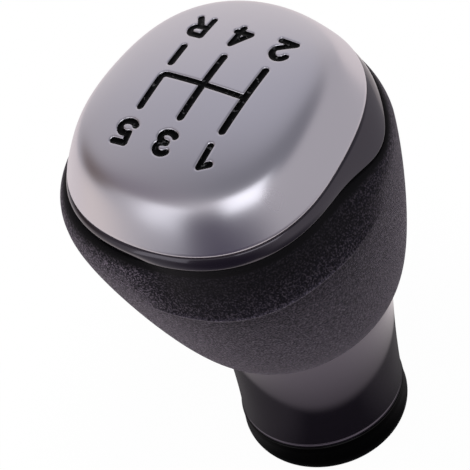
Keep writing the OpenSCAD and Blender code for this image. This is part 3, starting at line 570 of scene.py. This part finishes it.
# Trim ring: gloss black plastic, clamped by the cap's hooks between the cap and the grip. Its
# face slopes out and down, flares into a leaf shape a little behind each side, and stands
# upright at the front right.
RING_WALL, RING_FLANGE_T, FLANGE_W, RING_BOW, RING_TOP_INSET = 1.6, 1.2, 2.0, 0.25, 0.5
RING_TURN, RING_TURN_W = 0.25, 0.1
UPRIGHT_AT, UPRIGHT_END, UPRIGHT_FADE = math.radians(40), 0.5, 0.25
UPRIGHT_FROM, UNDERCUT = 0.45, 0.35
RING_TOP_Z = EDGE_Z - SEAM
FLANGE_TOP_Z = CORE_TOP_Z + RING_FLANGE_T
SKIRT_IN = RING_INSET + RING_WALL


def ring_face(t, s):
    """The ring's face from its upper edge (s = 0) to its lower edge (s = 1), bowed outwards as a
    parabola and turned in a little at either end. Round UPRIGHT_AT it stands upright instead:
    above UPRIGHT_FROM it rounds over along a parabola, and below it is undercut along one."""
    top, low = edge_r(t) - RING_TOP_INSET, ring_edge_r(t)
    turn_in = RING_TURN * (ease(1 - s / RING_TURN_W) ** 2
                           + ease((s - (1 - RING_TURN_W)) / RING_TURN_W) ** 2)
    sloping = top + (low - top) * s + RING_BOW * 4 * s * (1 - s)
    upright = (top + (low - top) * (1 - np.maximum(1 - s / UPRIGHT_FROM, 0) ** 2)
               - UNDERCUT * (np.maximum(s - UPRIGHT_FROM, 0) / (1 - UPRIGHT_FROM)) ** 2)
    share = ease((np.cos(t - UPRIGHT_AT) - UPRIGHT_END) / UPRIGHT_FADE)
    r = sloping + (upright - sloping) * share - turn_in
    return on_head(r, t, RING_TOP_Z + (ring_edge_z(t) - RING_TOP_Z) * s)


t, s = np.meshgrid(around, np.linspace(1, 0, 48))
face = ring_face(t, s)
inside_rows = [(SKIRT_IN, RING_TOP_Z), (SKIRT_IN, FLANGE_TOP_Z),
               (SKIRT_IN + FLANGE_W, FLANGE_TOP_Z), (SKIRT_IN + FLANGE_W, CORE_TOP_Z),
               (RING_INSET, CORE_TOP_Z)]
inside = [on_head(edge_r(around) - inset, around, z) for inset, z in inside_rows]
under = on_head(edge_r(around) - RING_INSET, around, ring_edge_z(around))
ring_points = np.concatenate([face, np.stack(inside), under[None]])

# Piano black: the same plastic from a less polished tool. Its sheen varies in ripples 10 mm
# across.
piano, tree, out, coords = new_material("piano_black_plastic")
ripple = noise(tree, coords, 10, 1.0)
rough = add_node(tree, "ShaderNodeMapRange", {"Value": ripple.outputs["Fac"],
                 "To Min": 0.1, "To Max": 0.18})
principled(tree, out, {"Base Color": to_linear("#141016"), "Roughness": rough.outputs["Result"],
                       "IOR": 1.75, "Specular Tint": to_linear("#F0E6F4"), "Coat Weight": 0.3})
ring_piece = mesh_piece("ring", ring_points.reshape(-1, 3), loop_surface(ring_points), piano)
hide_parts("trim_ring")


# Cap shell: a plastic moulding with a satin metal plating, clipped to the carrier by four
# hooks. The shift pattern is sunk into its crown.
CROWN_R_X, CROWN_R_Y, CROWN_SHARE, CROWN_SOFT, CAP_WALL = 125, 100, 0.86, 0.08, 2.0
HOOK_W, HOOK_T, HOOK_BARB, LIP_IN, LIP_UNDER = 5.0, 1.6, 0.9, 0.42, 0.75
PITCH, FRONT, REAR, BREAK, LANE_W, BAR_W, ENGRAVE_D = 8.5, 8.1, 7.2, 1.9, 1.4, 1.15, 0.6
CHAR_H, CHAR_W, CHAR_STROKE, CHAR_GAP, CORNER_R = 5.4, 4.1, 1.25, 1.9, 1.0


def crown(x, y):
    """Crown of the cap: a paraboloid with its own radius each way."""
    return -x * x / (2 * CROWN_R_X) - y * y / (2 * CROWN_R_Y)


def branch(d):
    """One branch of a hyperbola: near 0 well below 0, and near d well above."""
    return (d + np.sqrt(d * d + CROWN_SOFT ** 2)) / 2


def bend(u):
    """How far the cap has left its crown: a branch() scaled to 0 at the centre and 1 at the
    edge."""
    start, end = branch(-CROWN_SHARE), branch(1 - CROWN_SHARE)
    return (branch(u - CROWN_SHARE) - start) / (end - start)


def cap_z(x, y):
    """Height of the cap's face: the crown, less a fall to the edge that grows with bend()."""
    t, r = np.arctan2(y, x), np.hypot(x, y)
    reach = edge_r(t)
    return crown(x, y) + (EDGE_Z - crown(reach * np.cos(t), reach * np.sin(t))) * bend(r / reach)


def arc_path(cx, cy, rx, ry, start, end, steps=16):
    """Points of an oval arc between two angles in degrees."""
    a = np.radians(np.linspace(start, end, steps + 1))
    return np.stack([cx + rx * np.cos(a), cy + ry * np.sin(a)], 1)


def path(*parts):
    """The joined parts as one row of points."""
    return np.concatenate([np.atleast_2d(np.asarray(part, float)) for part in parts])


def shifted(paths, x, y):
    """The paths moved by x and y."""
    return [p + np.array([x, y]) for p in paths]


# Characters stand in a box CHAR_W by CHAR_H; the middle of a stroke reaches to cw and ch
cw, ch = (CHAR_W - CHAR_STROKE) / 2, (CHAR_H - CHAR_STROKE) / 2
one_x, stem_x, bar_y = 0.1 * CHAR_W, 0.175 * CHAR_W, -0.19 * CHAR_H
one = [path([one_x, -ch], [one_x, ch], [-0.8 * cw, 0.5 * ch])]
two = [path(arc_path(0, ch - cw, cw, cw, 160, -30), [-cw, -ch], [cw, -ch])]
three = [path(arc_path(0, ch / 2, 0.9 * cw, ch / 2, 150, -75), [-0.2 * cw, 0]),
         path([-0.2 * cw, 0], arc_path(0, -ch / 2, cw, ch / 2, 75, -150))]
four = [path([stem_x, -ch], [stem_x, ch], [-cw, bar_y], [cw, bar_y])]
five = [path([0.9 * cw, ch], [-0.8 * cw, ch],
             arc_path(-0.1 * cw, -0.42 * ch, 1.1 * cw, 0.58 * ch, 120, -150))]
reverse = [path([-cw, -ch], [-cw, ch], arc_path(0.2 * cw, ch / 2, 0.8 * cw, ch / 2, 90, -90),
                [-cw, 0]), path([0, 0], [cw, -ch])]
front_y, rear_y = FRONT + CHAR_GAP + CHAR_H / 2, -REAR - CHAR_GAP - CHAR_H / 2
front_end, rear_end = FRONT - LANE_W / 2, LANE_W / 2 - REAR
gate = [path([-PITCH, rear_end], [-PITCH, front_end]), path([0, rear_end], [0, front_end]),
        path([-PITCH, 0], arc_path(PITCH - CORNER_R, CORNER_R, CORNER_R, CORNER_R, -90, 0),
             [PITCH, front_end]), path([PITCH, -BREAK - LANE_W / 2], [PITCH, rear_end])]
characters = (shifted(one, -PITCH, front_y) + shifted(three, 0, front_y)
              + shifted(five, PITCH, front_y) + shifted(two, -PITCH, rear_y)
              + shifted(four, 0, rear_y) + shifted(reverse, PITCH, rear_y))


def outside(paths, x, y, lane_w, bar_w):
    """Distance to the nearest stroke's edge, below 0 inside. The cutter leaves round ends, so it
    is the distance to the middle of a straight piece less half its width, which goes from bar_w
    to lane_w with the piece's share of the y direction."""
    a, b = (np.concatenate([p[cut] for p in paths]) for cut in (slice(None, -1), slice(1, None)))
    px, py = x[..., None] - a[:, 0], y[..., None] - a[:, 1]
    dx, dy = (b - a).T
    along = np.clip((px * dx + py * dy) / (dx * dx + dy * dy), 0, 1)
    half = (bar_w + (lane_w - bar_w) * np.abs(dy) / np.hypot(dx, dy)) / 2
    return (np.hypot(px - along * dx, py - along * dy) - half).min(-1)


def engraved(x, y):
    """Signed distance to the edge of the whole pattern, below 0 inside."""
    return np.minimum(outside(gate, x, y, LANE_W, BAR_W),
                      outside(characters, x, y, CHAR_STROKE, CHAR_STROKE))


# A square net covers the pattern. Its points near an outline are moved onto it, so that the
# walls of the engraving run true.
NET, EDGE_SOFT, SNAP, NET_MARGIN, half_x = 0.165, 0.08, 0.55, 1, 11.6
low_y, high_y = rear_y - CHAR_H / 2 - NET_MARGIN, front_y + CHAR_H / 2 + NET_MARGIN
nx, ny = round(2 * half_x / NET), round((high_y - low_y) / NET)
x, y = np.meshgrid(np.linspace(-half_x, half_x, nx + 1), np.linspace(low_y, high_y, ny + 1))
depth = engraved(x, y)
probe = 0.02
slope_x = (engraved(x + probe, y) - engraved(x - probe, y)) / (2 * probe)
slope_y = (engraved(x, y + probe) - engraved(x, y - probe)) / (2 * probe)
near = np.abs(depth) < SNAP * NET
x, y = x - np.where(near, depth * slope_x, 0), y - np.where(near, depth * slope_y, 0)
depth = np.where(near, 0, depth)
softened = EDGE_SOFT / 2 * ease(1 - depth / (2 * NET))
sunk = np.select([near, depth < 0], [EDGE_SOFT, ENGRAVE_D], softened)
net_z = cap_z(x, y) - sunk
net_points = head(x, y, net_z).reshape(-1, 3)
net = np.arange((nx + 1) * (ny + 1)).reshape(ny + 1, nx + 1)
net_faces = np.stack([net[:-1, :-1], net[:-1, 1:], net[1:, 1:], net[1:, :-1]], -1).reshape(-1, 4)

# From the net's border, rows spread out to the edge, round it, and come back inside
FLANK_ROWS = 0.9
border = np.concatenate([net[0, :-1], net[:-1, -1], net[-1, :0:-1], net[:0:-1, 0]])
bx, by = x.ravel()[border], y.ravel()[border]
t, start_r = np.arctan2(by, bx), np.hypot(bx, by)
share = np.linspace(0, 1, 62)[1:, None] ** FLANK_ROWS
r = start_r + (edge_r(t) - LIP_IN - start_r) * share
flank = head(r * np.cos(t), r * np.sin(t), cap_z(r * np.cos(t), r * np.sin(t)))
# The edge turns under in a small round, a quadratic curve from the flank to the flat underside,
# then the wall's inner face closes the shell
s = np.linspace(0, 1, 6)[1:, None]
start_z = cap_z(r[-1] * np.cos(t), r[-1] * np.sin(t))
lip_r = edge_r(t) - LIP_IN * (1 - s) ** 2 - LIP_UNDER * s ** 2
lip = head(lip_r * np.cos(t), lip_r * np.sin(t), EDGE_Z + (start_z - EDGE_Z) * (1 - s) ** 2)
inner_shares = np.array([1.0, 0.97, 0.93, 0.87, 0.8, 0.6, 0.3, 0.02])[:, None]
r_in = inner_shares * (edge_r(t) - CAP_WALL)
x_out, y_out = inner_shares * edge_r(t) * np.cos(t), inner_shares * edge_r(t) * np.sin(t)
z_in = np.maximum(cap_z(x_out, y_out) - CAP_WALL, EDGE_Z)
inner_face = head(r_in * np.cos(t), r_in * np.sin(t), z_in)
rows = np.concatenate([flank, lip, inner_face])
numbers = np.arange(rows.shape[0] * rows.shape[1]).reshape(rows.shape[:2]) + len(net_points)
stack = np.concatenate([border[None], numbers])
row_faces = band_faces(stack[1:], stack[:-1])
pole = len(net_points) + rows.shape[0] * rows.shape[1]
pole_point = head(0, 0, cap_z(0.0, 0.0) - CAP_WALL)[None]
pole_faces = np.stack([stack[-1], np.roll(stack[-1], -1), 0 * stack[-1] + pole], -1)

# Hooks hang from the inner face. Each ends in a barb under the ring's flange.
hook_turns = np.radians([0, 90, 180, 270])
hook_r = (edge_r(hook_turns) - SKIRT_IN - FLANGE_W - 2 * FIT_GAP - HOOK_BARB
          - HOOK_W ** 2 / (8 * (CAP_R - SKIRT_IN - FLANGE_W)))
root = cap_z(*(hook_r / (edge_r(hook_turns) - CAP_WALL) * edge_r(hook_turns)
               * np.array([np.cos(hook_turns), np.sin(hook_turns)]))) - CAP_WALL / 2
foot_z = FLANGE_TOP_Z - HOOK_BARB
lows = [[r - HOOK_T, -HOOK_W / 2, foot_z] for r in hook_r]
shanks, shank_faces = boxes(lows, [[r, HOOK_W / 2, z] for r, z in zip(hook_r, root)])
barbs, barb_faces = boxes([[r, -HOOK_W / 2, foot_z] for r in hook_r],
                          [[r + HOOK_BARB, HOOK_W / 2, FLANGE_TOP_Z - FIT_GAP] for r in hook_r])
hook_points = np.concatenate([turned(p, hook_turns, 8) for p in (shanks, barbs)])
hook_points = head(*hook_points.T)
hook_faces = np.concatenate([shank_faces, barb_faces + len(shanks)])

# Satin plating: bright metal with a warm lavender cast, made dull by a fine etch under it that
# gives a soft grain 0.3 mm across and blurs every reflection
satin, tree, out, coords = new_material("satin_chrome_plating")
etch = noise(tree, coords, 0.3, 3.0)
bump = add_node(tree, "ShaderNodeBump", {"Height": etch.outputs["Fac"], "Strength": 0.12,
                "Distance": 0.00002})
clouds = noise(tree, coords, 12, 2.0)
rough = add_node(tree, "ShaderNodeMapRange", {"Value": clouds.outputs["Fac"],
                 "To Min": 0.26, "To Max": 0.32})
principled(tree, out, {"Base Color": to_linear("#CAC7CC"), "Metallic": 1.0,
                       "Roughness": rough.outputs["Result"], "Normal": bump.outputs["Normal"]})
cap_points = np.concatenate([net_points, rows.reshape(-1, 3), pole_point, hook_points])
cap_faces = [*net_faces.tolist(), *row_faces.tolist(), *pole_faces.tolist(),
             *(hook_faces + pole + 1).tolist()]
cap = mesh_piece("cap", cap_points, cap_faces, satin)
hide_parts("cap_shell")
# Plain parts of the face are shaded by the true surface's normals, so that the joint between the
# net and the rows does not show. A zero leaves a point to its own faces.
PLAIN_FROM = 2.5 * NET
flank_x, flank_y = r * np.cos(t), r * np.sin(t)
plain_x, plain_y = np.append(x, flank_x), np.append(y, flank_y)
step = 0.05
slope_x = (cap_z(plain_x + step, plain_y) - cap_z(plain_x - step, plain_y)) / (2 * step)
slope_y = (cap_z(plain_x, plain_y + step) - cap_z(plain_x, plain_y - step)) / (2 * step)
true = head(-slope_x, -slope_y, 1) - head(0, 0, 0)
true[:x.size][depth.ravel() < PLAIN_FROM] = 0
normals = np.zeros(cap_points.shape)
normals[:len(true)] = true / np.maximum(np.linalg.norm(true, axis=1, keepdims=True), 1e-9)
cap.data.normals_split_custom_set_from_vertices(normals)


# Pattern enamel: gloss black paint that fills the engraved lines, figures and letter, and sinks
# a little towards the middle of each stroke as it dries.
ENAMEL_SINK, ENAMEL_DIP, ENAMEL_DIP_W, ENAMEL_T = 0.14, 0.2, 0.45, 0.25
surface_z = cap_z(x, y) - ENAMEL_SINK - ENAMEL_DIP * ease(-depth / ENAMEL_DIP_W)
top = head(x, y, surface_z).reshape(-1, 3)
base = head(x, y, surface_z - ENAMEL_T).reshape(-1, 3)
filled = net_faces[(depth.ravel()[net_faces] < -0.01).any(1)]
used, renumbered = np.unique(filled, return_inverse=True)
top_faces = renumbered.reshape(-1, 4)
sides = np.stack([top_faces, np.roll(top_faces, -1, 1)], -1).reshape(-1, 2)
keys = {tuple(pair) for pair in sides.tolist()}
rims = np.array([pair for pair in sides.tolist() if (pair[1], pair[0]) not in keys])
count = len(used)
walls = np.stack([rims[:, 1], rims[:, 0], rims[:, 0] + count, rims[:, 1] + count], -1)
enamel_faces = np.concatenate([top_faces, top_faces[:, ::-1] + count, walls])

# Enamel: smooth black paint, with a few raised spots 0.9 mm apart that catch the light
enamel, tree, out, coords = new_material("gloss_black_enamel")
flow = noise(tree, coords, 2, 1.0)
rough = add_node(tree, "ShaderNodeMapRange", {"Value": flow.outputs["Fac"],
                 "To Min": 0.12, "To Max": 0.22})
spots = noise(tree, coords, 0.9, 1.0)
ridges = add_node(tree, "ShaderNodeMapRange", {"Value": spots.outputs["Fac"],
                  "From Min": 0.63, "From Max": 0.73})
bump = add_node(tree, "ShaderNodeBump", {"Height": ridges.outputs["Result"], "Strength": 1.0,
                "Distance": 0.0003})
shine = add_node(tree, "ShaderNodeMapRange", {"Value": spots.outputs["Fac"],
                 "From Min": 0.63, "From Max": 0.67, "To Min": 0.05, "To Max": 1.0})
principled(tree, out, {"Base Color": to_linear("#030303"), "Roughness": rough.outputs["Result"],
                       "Specular IOR Level": shine.outputs["Result"],
                       "Normal": bump.outputs["Normal"]})
paint = mesh_piece("enamel", np.concatenate([top[used], base[used]]), enamel_faces, enamel)
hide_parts("pattern_enamel")


# Floor: a plain white sheet, with the knob near its front left corner. The camera sees it nearly
# white, with a trace of the knob's shadow. The metal and the gloss parts mirror it white too, with
# a pink tint, but for a dark disc round the foot: painted shade that only the mirrors show. Its
# sizes are in metres.
SHEET_FORE, SHEET_BACK, SHEET_DROP, MIRROR_SHARE = 0.1, 0.7, 0.00002, 0.9
SHADE_CENTRE, DARK_DISC_IN, DARK_DISC_OUT = (0.0006, 0.0027, 0), 0.03, 0.0316
EDGE_IN, EDGE_OUT, SIDE_IN, SIDE_OUT = 0.031, 0.036, 0.012, 0.026
SHADOW_IN, SHADOW_OUT, ACROSS = 0.03, 0.07, (0.7071, 0.7071, 0)


def ray_kinds(tree):
    """The outputs that tell kinds of ray apart, and a value of 1 for rays on their way from a
    mirroring or a clear surface."""
    ray = add_node(tree, "ShaderNodeLightPath").outputs
    mirrored = add_node(tree, "ShaderNodeMath", {0: ray["Is Glossy Ray"],
                        1: ray["Is Transmission Ray"]}, operation="ADD")
    return ray, mirrored.outputs[0]


mesh = bpy.data.meshes.new("floor")
corners = [(-SHEET_FORE, -SHEET_BACK, 0), (SHEET_BACK, -SHEET_BACK, 0),
           (SHEET_BACK, SHEET_FORE, 0), (-SHEET_FORE, SHEET_FORE, 0)]
mesh.from_pydata(np.array(corners) - np.array([0, 0, SHEET_DROP]), [], [(0, 1, 2, 3)])
floor = bpy.data.objects.new("floor", mesh)
bpy.context.scene.collection.objects.link(floor)
paper, tree, out, coords = new_material("pale_paper")
diffuse = add_node(tree, "ShaderNodeBsdfDiffuse", {"Color": to_linear("#EDEDEE")})
away = add_node(tree, "ShaderNodeVectorMath", {0: coords, 1: SHADE_CENTRE},
                operation="DISTANCE").outputs["Value"]
ray, mirrored = ray_kinds(tree)
plain = add_node(tree, "ShaderNodeMapRange", {"Value": away, "From Min": SHADOW_IN,
                 "From Max": SHADOW_OUT, "To Min": 0.98, "To Max": 1.0},
                 interpolation_type="SMOOTHSTEP")
shown = add_node(tree, "ShaderNodeMath", {0: mirrored, 1: MIRROR_SHARE}, operation="MULTIPLY")
seen = add_node(tree, "ShaderNodeMath", {0: ray["Is Camera Ray"], 1: plain.outputs["Result"],
                2: shown.outputs[0]}, operation="MULTIPLY_ADD")
# The dark disc of painted shade is black, a little lighter to the left and right of the view, and
# the sheet round it brightens from its rim outwards
dark_disc = add_node(tree, "ShaderNodeMapRange", {"Value": away, "From Min": DARK_DISC_IN,
                   "From Max": DARK_DISC_OUT}, interpolation_type="SMOOTHSTEP")
dim = add_node(tree, "ShaderNodeMapRange", {"Value": away, "From Min": EDGE_IN,
               "From Max": EDGE_OUT, "To Min": 0.4, "To Max": 1.0})
dim = add_node(tree, "ShaderNodeMath", {0: dim.outputs["Result"], 1: dark_disc.outputs["Result"]},
               operation="MULTIPLY")
across = add_node(tree, "ShaderNodeVectorMath", {0: coords, 1: ACROSS}, operation="DOT_PRODUCT")
across = add_node(tree, "ShaderNodeMath", {0: across.outputs["Value"]}, operation="ABSOLUTE")
side = add_node(tree, "ShaderNodeMapRange", {"Value": across.outputs[0], "From Min": SIDE_IN,
                "From Max": SIDE_OUT, "To Max": 0.1}, interpolation_type="SMOOTHSTEP")
dim = add_node(tree, "ShaderNodeMath", {0: dim.outputs[0], 1: side.outputs["Result"]},
               operation="MAXIMUM")
strength = add_node(tree, "ShaderNodeMath", {0: ray["Is Camera Ray"], 1: dim.outputs[0]},
                    operation="MAXIMUM")
# Mirrored rays see the sheet with a pink tint, a painted reflection colour
tint = add_node(tree, "ShaderNodeMix", {"Factor": ray["Is Camera Ray"], 6: (1, 0.92, 0.93, 1),
                7: (1, 1, 1, 1)}, data_type="RGBA")
white = add_node(tree, "ShaderNodeEmission", {"Color": tint.outputs[2],
                 "Strength": strength.outputs[0]})
mix = add_node(tree, "ShaderNodeMixShader", {0: seen.outputs[0], 1: diffuse.outputs[0],
               2: white.outputs[0]})
tree.links.new(mix.outputs[0], out.inputs["Surface"])
mesh.materials.append(paper)


# Light: two soft boxes, at the front left and in front, in a pale studio. The metal and the gloss
# parts have its wall to reflect: dark overhead, low in front and low on the left, and bright low
# on the right and behind it.
MIDDLE = np.array([0, 0, 0.07])
world = bpy.data.worlds.new("studio")
bpy.context.scene.world = world
world.use_nodes = True
tree = world.node_tree
tree.nodes.clear()
out = add_node(tree, "ShaderNodeOutputWorld")
direction = add_node(tree, "ShaderNodeTexCoord").outputs["Generated"]


def towards(azimuth, elevation):
    """Unit vector of a direction in degrees."""
    a, e = math.radians(azimuth), math.radians(elevation)
    return (math.cos(a) * math.cos(e), math.sin(a) * math.cos(e), math.sin(e))


def soft_patch(under, azimuth, elevation, spread, colour):
    """A soft round patch of a colour on the studio's wall, gone at spread degrees."""
    facing = add_node(tree, "ShaderNodeVectorMath", {0: direction, 1: towards(azimuth, elevation)},
                      operation="DOT_PRODUCT")
    share = add_node(tree, "ShaderNodeMapRange", {"Value": facing.outputs["Value"],
                     "From Min": math.cos(math.radians(spread))},
                     interpolation_type="SMOOTHSTEP")
    return add_node(tree, "ShaderNodeMix", {"Factor": share.outputs["Result"], 6: under,
                    7: (*colour, 1)}, data_type="RGBA").outputs[2]


wall = (0.57, 0.55, 0.59, 1)
for azimuth, elevation, spread, colour in (
        (-150, 64, 44, (0.2, 0.2, 0.24)), (0, 90, 44, (0.22, 0.22, 0.26)),
        (-50, 50, 34, (0.58, 0.58, 0.66)), (-52, 5, 52, (0.9, 0.86, 0.88)),
        (36, 46, 24, (0.28, 0.25, 0.3)), (20, 20, 24, (0.16, 0.11, 0.1)),
        (28, -22, 30, (1.0, 0.9, 0.87)), (112, -14, 60, (0.03, 0.02, 0.06)),
        (165, -45, 42, (0.08, 0.07, 0.1))):
    wall = soft_patch(wall, azimuth, elevation, spread, colour)
ray, mirrored = ray_kinds(tree)
shown = add_node(tree, "ShaderNodeMath", {0: mirrored, 1: 0.05, 2: ray["Is Camera Ray"]},
                 operation="MULTIPLY_ADD")
sky = add_node(tree, "ShaderNodeMix", {"Factor": shown.outputs[0], 6: wall,
               7: (1, 1, 1, 1)}, data_type="RGBA")
background = add_node(tree, "ShaderNodeBackground", {"Color": sky.outputs[2]})
tree.links.new(background.outputs[0], out.inputs["Surface"])


def soft_box(name, azimuth, elevation, width, height, radiance, distance=0.9):
    """A lamp that faces the knob's middle from a direction. Its width and height are given in
    degrees as seen from the knob; its power is pi times its area times its radiance."""
    lamp = bpy.data.lights.new(name, "AREA")
    lamp.shape = "RECTANGLE"
    lamp.size, lamp.size_y = (2 * distance * math.tan(math.radians(a / 2))
                              for a in (width, height))
    lamp.energy = math.pi * lamp.size * lamp.size_y * radiance
    lamp.color = (0.93, 0.96, 1.0)
    holder = bpy.data.objects.new(name, lamp)
    bpy.context.scene.collection.objects.link(holder)
    holder.location = np.array(towards(azimuth, elevation)) * distance + MIDDLE
    holder.rotation_euler = np.radians([90 - elevation, 0, azimuth + 90])


soft_box("front_box", 138, 38, 38, 40, 1.4)
soft_box("side_box", 72, 16, 24, 38, 0.9)


# Camera: a long lens above the knob's front left side, tipped over to the left as the view is.
view = bpy.data.cameras.new("camera")
view.lens, view.sensor_width = 217.92, 36
camera = bpy.data.objects.new("camera", view)
bpy.context.scene.collection.objects.link(camera)
camera.location = (-0.25752, 0.25821, 0.40942)
camera.rotation_euler = np.radians([44.3234, 12.3406, -146.2761])
bpy.context.scene.camera = camera
bpy.context.scene.view_settings.view_transform = "Standard"
